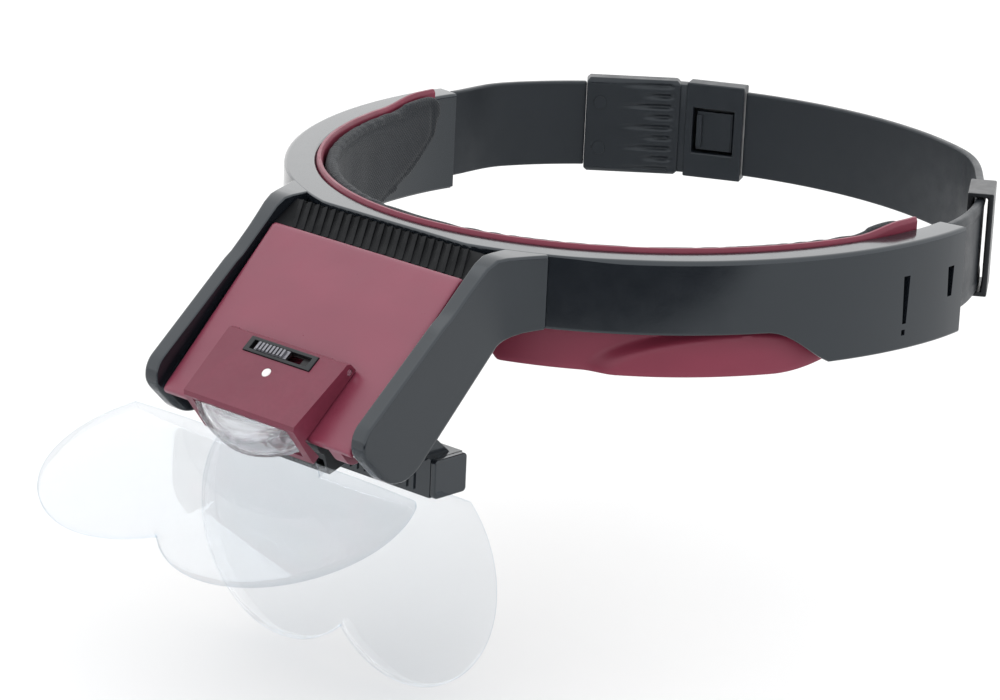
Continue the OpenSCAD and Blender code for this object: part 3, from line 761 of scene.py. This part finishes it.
def arm_stations():
    """(front point, rear point, outer x, inset) from the band down to the tip."""
    flush = BAND_TOP - 0.04
    stations = [((-80.5, flush), (-80.5, -6.0), 38.6, 0), ((-82.7, flush), (-82.7, -6.2), 40.5, 0),
                ((-85.5, flush), (-84.8, -6.5), 39.2, 0), ((-88.5, flush), (-86.8, -6.9), 37.9, 0),
                ((-91.3, flush), (-88.5, -7.5), 36.8, 0), ((-93.8, 10.7), (-89.6, -8.1), 36.0, 0),
                ((-96.3, 9.3), (-90.4, -8.6), 35.5, 0), ((-98.9, 6.9), (-91.0, -9.1), 35.2, 0)]
    along, _, radius = NOSE_REAR
    tips = [along + radius * math.sin(math.radians(a)) for a in range(8, 91, 6)]
    for s in [3.5] + spread(8, along, 2.6) + tips + [ARM_END]:
        front = slope(0, s, arm_top(s))[1:]
        rear = slope(0, max(s, 6.5), arm_back(s))[1:]
        near_tip = max(0.0, (s - ARM_END + 1.1) / 1.1)
        inset = 1.1 * (1 - math.sqrt(max(0.0, 1 - near_tip ** 2)))
        stations.append((front, rear, ARM_OUTER, inset))
    return stations


def arm_ring(station):
    (front_y, front_z), (rear_y, rear_z), outer, inset = station
    length = math.hypot(front_y - rear_y, front_z - rear_z)
    corners = [(outer - inset, 0), (outer - inset, length), (ARM_INNER + inset, length),
               (ARM_INNER + inset, 0)]
    ring = []
    for x, q in rounded(corners, [0.75, 1.0, 0.6, 0.5]):
        u = q / length
        ring.append((x, mix(front_y, rear_y, u), mix(front_z, rear_z, u)))
    return ring


def build_arms(material):
    arms = mirrored(loft([arm_ring(s) for s in arm_stations()]))
    web = block((-ARM_INNER - 0.5, 0.5, -13.5), (ARM_INNER + 0.5, 3.4, -4.3), slope)
    ledge = mirrored(block((28.6, 0.5, -4.4), (ARM_INNER + 0.5, 30, -2.25), slope, 0.3))
    piece("visor_arms", joined(arms, web, ledge), material, "headband", ["visor_frame"],
          0.2)


def panel_height(x, s):
    """Crown of the lamp panel: it bows out a little and falls at its rounded edges."""
    across = abs(x) / PANEL_HALF_W
    crown = 0.3 * (1 - across ** 2) * math.sin(math.pi * min(max(s / CROWN_END, 0), 1)) ** 2
    side = PANEL_HALF_W - abs(x)
    end = min(s, PANEL_LEN + 0.4 - s)
    drop = sum(0.8 * (1 - math.sqrt(max(0.0, 1 - (1 - d / 1.4) ** 2))) for d in (side, end)
               if d < 1.4)
    return crown - drop


def build_panel(material):
    xs = sorted({round(v, 3) for a in (-1, 1) for v in
                 [a * (PANEL_HALF_W - d) for d in (0, 0.15, 0.4, 0.8, 1.4)]}
                | {round(v, 3) for v in spread(-27.5, 27.5, 2.5)})
    ss = [0, 0.15, 0.4, 0.8, 1.4] + spread(3, PANEL_LEN - 2, 2.5)
    ss += [PANEL_LEN + 0.4 - d for d in (1.4, 0.8, 0.4, 0.15, 0)]
    rings = []
    for x in xs:
        top = [slope(x, s, panel_height(x, s)) for s in ss]
        under = [slope(x, s, -2.0) for s in reversed(ss)]
        rings.append(top + under)
    rod = [slope_of(y, z) for y, z in arc_points(FRONT_AXIS, 3.2, 24)]
    lug = prism(hull_with(rod, [(40.9, -1), (45.9, -1)]), 20.0, 24.0, slope)
    pin_lug = block((13.4, 28.7, -0.6), (15.6, 31.3, 2.8), slope, 0.9)
    solid = joined(loft(rings), mirrored(lug), mirrored(pin_lug))
    piece("lamp_panel_skin", solid, material, "headband", ["lamp_panel"], 0.3)


def slope_of(y, z):
    """(s, h) of a point given as y and z."""
    dy = y - PANEL_TOP[0]
    dz = z - PANEL_TOP[1]
    return -C45 * (dy + dz), C45 * (dz - dy)


def arc_points(centre, radius, count):
    return [(centre[0] + radius * math.cos(2 * math.pi * i / count),
             centre[1] + radius * math.sin(2 * math.pi * i / count)) for i in range(count)]


def hull_with(points, extra):
    """Convex outline round both lists of points."""
    points = sorted(set(points + extra))

    def half(side):
        chain = []
        for p in side:
            while len(chain) > 1:
                (ax, ay), (bx, by) = chain[-2:]
                if (bx - ax) * (p[1] - ay) - (by - ay) * (p[0] - ax) > 0:
                    break
                chain.pop()
            chain.append(p)
        return chain[:-1]

    return half(points) + half(points[::-1])


# ---- lenses ---------------------------------------------------------------------

def front_lens_place(x, v, w):
    """v runs up and back along the front plate, w out of its upper face."""
    c, s = math.cos(FRONT_DROOP), math.sin(FRONT_DROOP)
    return x, FRONT_CENTRE[0] + v * c - w * s, FRONT_CENTRE[1] + v * s + w * c


def rear_lens_place(x, v, w):
    return x, REAR_CENTRE[0] - w, REAR_CENTRE[1] + v


def in_front_lens(x, v):
    lobe = math.hypot(x - LENS_GAP, v) < FRONT_LENS_R and v < FRONT_CUT
    tab = x < TAB[0] and 0 < v < TAB[1]
    return x > 0 and (lobe or tab)


def in_rear_lens(x, v):
    lobe = math.hypot(x - LENS_GAP, v) < REAR_LENS_R and v < REAR_CUT
    head = x < HEAD[0] and 10 < v < HEAD[1]
    return x > 0 and (lobe or head)


def reach_of(inside, angle):
    """Distance from the mesh's middle to the plate's edge along an angle."""
    dx, dv = math.cos(angle), math.sin(angle)
    r = 1.0
    while inside(LENS_POLE[0] + dx * r, LENS_POLE[1] + dv * r):
        r += 0.25
    low, high = r - 0.25, r
    for _ in range(24):
        mid = (low + high) / 2
        if inside(LENS_POLE[0] + dx * mid, LENS_POLE[1] + dv * mid):
            low = mid
        else:
            high = mid
    return low


def plate_heights(x, v, domes, radius, drop=0.0):
    """Heights of a plate's two faces at a point; drop rounds its edge off."""
    dome = max(0.0, 1 - (math.hypot(x - LENS_GAP, v) / radius) ** 2)
    return LENS_T / 2 - drop + domes[0] * dome, -LENS_T / 2 + drop - domes[1] * dome


def plate_row(inside, angle, domes, radius):
    """Points (x, v, upper face, lower face) from the mesh's middle out to the edge."""
    reach = reach_of(inside, angle)
    seam = LENS_POLE[0] + math.cos(angle) * reach < ON_MIDDLE
    steps = [reach * k / 9 for k in range(1, 9)]
    ends = [reach] * 3 if seam else [reach - LENS_ROUND, reach - LENS_BEVEL, reach]
    drops = [0, 0, 0] if seam else [0, LENS_BEVEL, LENS_ROUND]
    row = []
    for r, drop in zip(steps + ends, [0] * 8 + drops):
        x = max(0.0, LENS_POLE[0] + math.cos(angle) * r)
        x = 0.0 if seam and r == reach else x
        v = LENS_POLE[1] + math.sin(angle) * r
        row.append((x, v, *plate_heights(x, v, domes, radius, drop)))
    return row


def plate_faces(rows):
    """Faces over and under the rows, and round the edge but not along the middle line."""
    count, per = len(rows), len(rows[0])
    last = per - 1
    faces = []

    def at(i, k, side):
        return 2 + ((i % count) * per + k) * 2 + side

    for i in range(count):
        faces.append((0, at(i, 0, 0), at(i + 1, 0, 0)))
        faces.append((1, at(i + 1, 0, 1), at(i, 0, 1)))
        for k in range(last):
            faces.append((at(i, k, 0), at(i, k + 1, 0), at(i + 1, k + 1, 0), at(i + 1, k, 0)))
            faces.append((at(i, k, 1), at(i + 1, k, 1), at(i + 1, k + 1, 1), at(i, k + 1, 1)))
        if not all(rows[j % count][last][0] < ON_MIDDLE for j in (i, i + 1)):
            faces.append((at(i, last, 0), at(i, last, 1), at(i + 1, last, 1), at(i + 1, last, 0)))
    return faces


def lens_half(inside, corners, domes, radius, place):
    """Half of a two-lobed plate, as rows of points round a middle in its lobe."""
    angles = [math.radians(a) for a in range(0, 360, 3)]
    angles += [math.atan2(v - LENS_POLE[1], x - LENS_POLE[0]) % (2 * math.pi) for x, v in corners]
    rows = [plate_row(inside, angle, domes, radius)
            for angle in sorted(set(round(a, 6) for a in angles))]
    up, down = plate_heights(*LENS_POLE, domes, radius)
    verts = [place(*LENS_POLE, up), place(*LENS_POLE, down)]
    for row in rows:
        for x, v, up, down in row:
            verts.append(place(x, v, up))
            verts.append(place(x, v, down))
    return verts, plate_faces(rows)


def plate_corners(cut, radius, tab):
    """Corners of half a plate: the notch, the tab's ends and the end of the level cut."""
    notch = -math.sqrt(radius ** 2 - LENS_GAP ** 2)
    level_end = LENS_GAP + math.sqrt(radius ** 2 - cut ** 2)
    return [(0, notch), (0, tab[1]), tab, (tab[0], cut), (level_end, cut)]


def build_lenses(material):
    corners = plate_corners(FRONT_CUT, FRONT_LENS_R, TAB)
    front = lens_half(in_front_lens, corners, (0.9, 1.5), FRONT_LENS_R, front_lens_place)
    piece("front_lens_plate", mirrored(front), material, "front_plate", ["front_lens"],
          0)
    corners = plate_corners(REAR_CUT, REAR_LENS_R, HEAD)
    rear = lens_half(in_rear_lens, corners, (1.4, 0.8), REAR_LENS_R, rear_lens_place)
    piece("rear_lens_plate", mirrored(rear), material, "rear_plate", ["rear_lens"],
          0)


def build_window(material):
    """Hollow clear dome under the lamp, with shallow flutes across it."""
    half_x, half_h, centre, radius = 14.7, 4.0, 31.0, 23.4
    start = 47.65
    count = 49

    def skin(x, h, r, wave):
        depth = centre + math.sqrt(max(0.0, r * r - x * x - h * h))
        side = min(half_x - abs(x), half_h - abs(h))
        depth -= 1.2 * (1 - math.sqrt(max(0.0, 1 - (1 - min(side, 1.2) / 1.2) ** 2)))
        return max(start + 0.3, depth + wave * 0.1 * math.cos(x * math.pi))

    rings = []
    for i in range(count):
        x = -half_x * math.cos(math.pi * i / (count - 1))
        hs = [-half_h * math.cos(math.pi * k / 12) for k in range(13)]
        outer = [slope(x, skin(x, h, radius, 1), h) for h in hs]
        inset_x = x * (half_x - 0.9) / half_x
        inner = [slope(inset_x, max(start, skin(x, h, radius, 0) - 1.0), h * 0.76)
                 for h in reversed(hs)]
        foot_low = [slope(x, start, hs[-1]), slope(inset_x, start, hs[-1] * 0.76)]
        foot_high = [slope(inset_x, start, hs[0] * 0.76), slope(x, start, hs[0])]
        rings.append(outer + foot_low + inner + foot_high)
    piece("lamp_window_dome", loft(rings), material, "lamp_head", ["lamp_window"],
          0)


# ---- strap ----------------------------------------------------------------------

def strap_off(t):
    """How far the strap's outer face lies inside the oval."""
    if t < 180:
        edge = t - BAND_END
        return -0.3 - (3.4 + 0.8 * ease(edge / 24)) * (1 - ease((edge - 32) / 23))
    return -0.3 - 3.6 * (1 - ease((360 - BAND_END - t) / 14))


def strap_solid(t0, t1):
    """The strap along the oval: a flat strip with rolled edges."""
    half = STRAP_H / 2
    rings = []
    for t in spread(t0, t1, 1.5):
        outer = strap_off(t)
        inner = outer - STRAP_T
        # a shallow hollow between two thicker edges
        section = [(outer, -half), (outer, -half + 2.2), (outer - 0.25, -half + 2.8),
                   (outer - 0.25, half - 2.8), (outer, half - 2.2), (outer, half),
                   (inner, half), (inner, -half)]
        ring = rounded(section, [0.7, 0.3, 0.3, 0.3, 0.3, 0.7, 0.7, 0.7])
        rings.append([(*oval(t, p[0]), p[1]) for p in ring])
    return loft(rings)


def tongue(side):
    """The strap's end inside the band's sleeve."""
    low, high = (78.9, -18.0, -9.5), (80.6, 14.0, 7.5)
    return block(low, high, lambda x, y, z: (side * x, y, z), 0.5)


def build_straps(material):
    left = joined(strap_solid(BAND_END + 0.2, RECEIVER_END - 0.3), tongue(1))
    right = joined(strap_solid(BUCKLE_START + 0.3, 359.8 - BAND_END), tongue(-1))
    piece("strap_long", left, material, "rear_strap", ["strap_left"], 0.3)
    piece("strap_short", right, material, "rear_strap", ["strap_right"], 0.3)


def chord_frame(start, end):
    """Placing function and half length of the chord between two points of the oval."""
    a = Vector((*oval(start), 0))
    b = Vector((*oval(end), 0))
    along = (b - a).normalized()
    outward = Vector((-along.y, along.x, 0))
    middle = (a + b) / 2

    def place(z, x, y):
        return tuple(middle + along * x + outward * y + Vector((0, 0, z)))

    return place, (b - a).length / 2


def grip_depth(x, z, half):
    """Depth of the buckle's grip grooves, long and short by turns."""
    pitch = 2.75
    row = round(z / pitch)
    if abs(row) > 4:
        return 0.0
    length = 15.0 if row % 2 == 0 else 9.0
    start = half - 1.8 - length
    across = ease(1 - abs(z - row * pitch) / 0.95)
    along = ease((x - start) / (length * 0.8)) * ease((half - 1.8 - x) / 0.8)
    return 0.9 * across * along


def build_buckle(material):
    """The buckle's ribbed half: a block with rounded edges and grooves on both faces."""
    place, half = chord_frame(BUCKLE_START, BUCKLE_END)
    top = BUCKLE_H / 2
    inner, outer = -3.4, 2.0
    xs = spread(-half, half, 0.7)
    rings = []
    for z in [-top] + spread(-top + 0.9, top - 0.9, 0.25) + [top]:
        inset = 0.8 if abs(z) == top else 0.0
        low = [place(z, x * (1 - inset / half), inner + inset + grip_depth(x, z, half)) for x in xs]
        high = [place(z, x * (1 - inset / half), outer - inset - grip_depth(x, z, half))
                for x in reversed(xs)]
        rings.append(low + high)
    piece("buckle_ribbed_half", loft(rings), material, "rear_strap", ["buckle_body"],
          0.5)
    meet, reach = chord_frame(BUCKLE_END + 0.5, RECEIVER_START - 0.5)
    neck = block((-11.6, -reach, -2.9), (11.6, reach, 1.3), meet, 0.3)
    piece("buckle_neck", neck, material, "rear_strap", [], 0)


def build_receiver_back(material):
    """Closes the window behind the release tab, on the side away from the head."""
    place, reach = chord_frame(RECEIVER_START, RECEIVER_END)
    solid = block((-6.2, 1.8 - reach, 0.8), (6.2, reach - 2.2, 1.4), place, 0.1)
    piece("receiver_back", solid, material, "rear_strap", [], 0)


# ---- CAD pieces that keep their shape --------------------------------------------

def finish_cad(node, material, edge):
    """Gives a CAD piece softened edges and its material; its mesh stays as it is."""
    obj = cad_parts[node]
    if obj.data.attributes.get("custom_normal"):
        obj.data.attributes.remove(obj.data.attributes["custom_normal"])
    for face in obj.data.polygons:
        face.use_smooth = True
    for edge_data in obj.data.edges:
        edge_data.use_edge_sharp = False
    obj.data.materials.clear()
    obj.data.materials.append(material)
    for face in obj.data.polygons:
        face.material_index = 0
    weld = obj.modifiers.new("weld", "WELD")
    weld.merge_threshold = 1e-6
    flat = obj.modifiers.new("flat faces", "DECIMATE")
    flat.decimate_type = "DISSOLVE"
    flat.angle_limit = math.radians(0.5)
    soften(obj, edge, 25)


# ---- studio ---------------------------------------------------------------------

def build_floor():
    half = 6000
    corners = [(-half, -half, FLOOR), (half, -half, FLOOR), (half, half, FLOOR), (-half, half, FLOOR)]
    floor = new_object("studio_floor", (corners, [(0, 1, 2, 3)]))
    m = Nodes("pale_floor")
    m.set(colour=m.blend(m.noise(3), (0.92, 0.92, 0.92), (0.94, 0.94, 0.94)), rough=0.9, ior=1.1)
    floor.data.materials.append(m.material)


def build_dark_card():
    """A black card on the floor that only shows as a reflection in the band's side."""
    outline = [(40, -345), (131, -335), (200, -300), (262, -259), (381, -161), (520, -80),
               (900, -400), (300, -900), (0, -600)]
    card = new_object("studio_dark_card", ([(x, y, FLOOR + 0.5) for x, y in outline],
                                           [tuple(range(len(outline)))]))
    m = Nodes("dark_card")
    m.set(colour=m.blend(m.noise(20), (0.004, 0.004, 0.005), (0.01, 0.01, 0.012)), rough=0.9)
    card.data.materials.append(m.material)
    card.visible_camera = False
    card.visible_diffuse = False
    card.visible_transmission = False
    card.visible_shadow = False


def build_light():
    world = bpy.data.worlds.new("studio")
    bpy.context.scene.world = world
    world.use_nodes = True
    tree = world.node_tree
    background = tree.nodes["Background"]
    background.inputs["Color"].default_value = (1.0, 1.0, 1.0, 1)
    path = tree.nodes.new("ShaderNodeLightPath")
    level = tree.nodes.new("ShaderNodeMapRange")
    level.inputs["To Min"].default_value = 1.2
    level.inputs["To Max"].default_value = 1.75
    tree.links.new(path.outputs["Is Glossy Ray"], level.inputs["Value"])
    tree.links.new(level.outputs["Result"], background.inputs["Strength"])
    data = bpy.data.lights.new("softbox", "AREA")
    data.energy = 2
    data.size = 1.2
    lamp = bpy.data.objects.new("softbox", data)
    lamp.location = (-0.5, -0.4, 1.6)
    lamp.rotation_euler = (Vector((0, -0.05, 0)) - lamp.location).to_track_quat("-Z", "Y").to_euler()
    bpy.context.scene.collection.objects.link(lamp)


def build_camera():
    a = math.radians(PHOTO_AZIMUTH)
    e = math.radians(PHOTO_ELEVATION)
    back = Vector((math.sin(a) * math.cos(e), -math.cos(a) * math.cos(e), math.sin(e)))
    level = Vector((math.cos(a), math.sin(a), 0))
    turn = Matrix.Rotation(math.radians(PHOTO_ROLL), 3, back)
    right = turn @ level
    up = back.cross(right)
    data = bpy.data.cameras.new("photo_camera")
    data.lens = CAMERA_LENS
    data.sensor_width = 36
    data.clip_end = 50
    camera = bpy.data.objects.new("photo_camera", data)
    columns = Matrix((right, up, back)).transposed()
    camera.matrix_world = Matrix.Translation(CAMERA_PLACE) @ columns.to_4x4()
    bpy.context.scene.collection.objects.link(camera)
    bpy.context.scene.camera = camera


# ---- the model ------------------------------------------------------------------

DARK = (0.0082, 0.0104, 0.0138)
BURGUNDY = (0.2, 0.032, 0.06)

band_plastic = moulded("band_plastic", DARK, rough=0.13, grain=1800, grain_depth=0.008, ior=1.55)
strap_plastic = moulded("strap_plastic", scaled(DARK, 0.9), rough=0.42, grain=1100,
                        grain_depth=0.03, ior=1.42)
black_plastic = moulded("black_plastic", (0.006, 0.006, 0.007), rough=0.35, ior=1.38)
case_plastic = moulded("case_plastic", scaled(DARK, 0.8), rough=0.4, grain=900, grain_depth=0.04)
panel_plastic = moulded("panel_plastic", BURGUNDY, rough=0.34, grain=1600, grain_depth=0.014,
                        ior=1.55, wear=1.3)
# painted shade: the lamp housing is the panel's burgundy painted darker, for the shade on its tilted
# face; its switch slot is painted nearly black as painted shade
lamp_plastic_shaded = moulded("lamp_plastic_shaded", scaled(BURGUNDY, 0.72), rough=0.4, grain=1500,
                       grain_depth=0.014, ior=1.4, wear=1.3, shade_slot_framed_by="switch_bezel")
# painted shade: the grille in the band's slots is painted near black, darker than the band, for the
# shade inside the slots
slot_shade_black = moulded("slot_shade_black", (0.0025, 0.0025, 0.003), rough=0.55, ior=1.22, wear=2.5)
liner_plastic = moulded("liner_plastic", (0.19, 0.026, 0.05), rough=0.42, grain=1300,
                        grain_depth=0.03, ior=1.4)
pad_cloth = fabric("pad_cloth", (0.02, 0.023, 0.027))
steel = brushed_metal("steel", (0.62, 0.63, 0.65))
switch_metal = brushed_metal("switch_metal", (0.2, 0.2, 0.22), 0.35, (1.0, 0.15, 0.15))
mirror = brushed_metal("mirror_metal", (0.86, 0.87, 0.88), 0.08)
lens_acrylic = clear_plastic("lens_acrylic", (0.985, 0.992, 1.0), (0.55, 0.75, 0.9), 10, 0.87)
window_acrylic = clear_plastic("window_acrylic", (0.99, 0.99, 1.0), (0.8, 0.88, 0.95), 20,
                               0.3, 0.03, 0.05)
white_plastic = moulded("white_plastic", (0.85, 0.85, 0.84), rough=0.25)
board = printed_board("board")
cell = cell_wrap("battery_wrap")
epoxy = lamp_epoxy("led_epoxy")

build_band(band_plastic)
build_liner(liner_plastic)
build_pad(pad_cloth)
build_arms(band_plastic)
build_panel(panel_plastic)
build_lenses(lens_acrylic)
build_window(window_acrylic)
build_straps(strap_plastic)
build_buckle(strap_plastic)
build_receiver_back(black_plastic)

CAD_FINISH = {
    "slot_grille": (slot_shade_black, 0.15), "battery_case": (case_plastic, 0.5),
    "battery_door": (case_plastic, 0.3), "door_hinge_pin": (steel, 0.15),
    "batteries": (cell, 0.4), "battery_contacts": (steel, 0.1), "case_screws": (steel, 0.12),
    "lamp_hinge_pins": (steel, 0.1), "lamp_housing": (lamp_plastic_shaded, 0.35),
    "lamp_back_cover": (case_plastic, 0.15), "circuit_board": (board, 0.08),
    "leds": (epoxy, 0.08), "reflector": (mirror, 0.08), "indicator_lens": (white_plastic, 0.12),
    "switch_bezel": (black_plastic, 0.15), "switch_slider": (switch_metal, 0.1),
    "front_hinge_rod": (steel, 0.3), "front_lens_clip": (black_plastic, 0.4),
    "lens_bar": (band_plastic, 0.25), "bar_end_caps": (band_plastic, 0.3),
    "bar_pivot_pins": (steel, 0.3), "lens_springs": (steel, 0.1),
    "strap_loop": (black_plastic, 0.4),
    "buckle_receiver": (strap_plastic, 0.4), "release_tab": (strap_plastic, 0.25),
    "buckle_rivets": (strap_plastic, 0.15),
}
for cad_node, (finish, edge_width) in CAD_FINISH.items():
    finish_cad(cad_node, finish, edge_width)

build_floor()
build_dark_card()
build_light()
build_camera()
bpy.context.scene.view_settings.view_transform = "Standard"
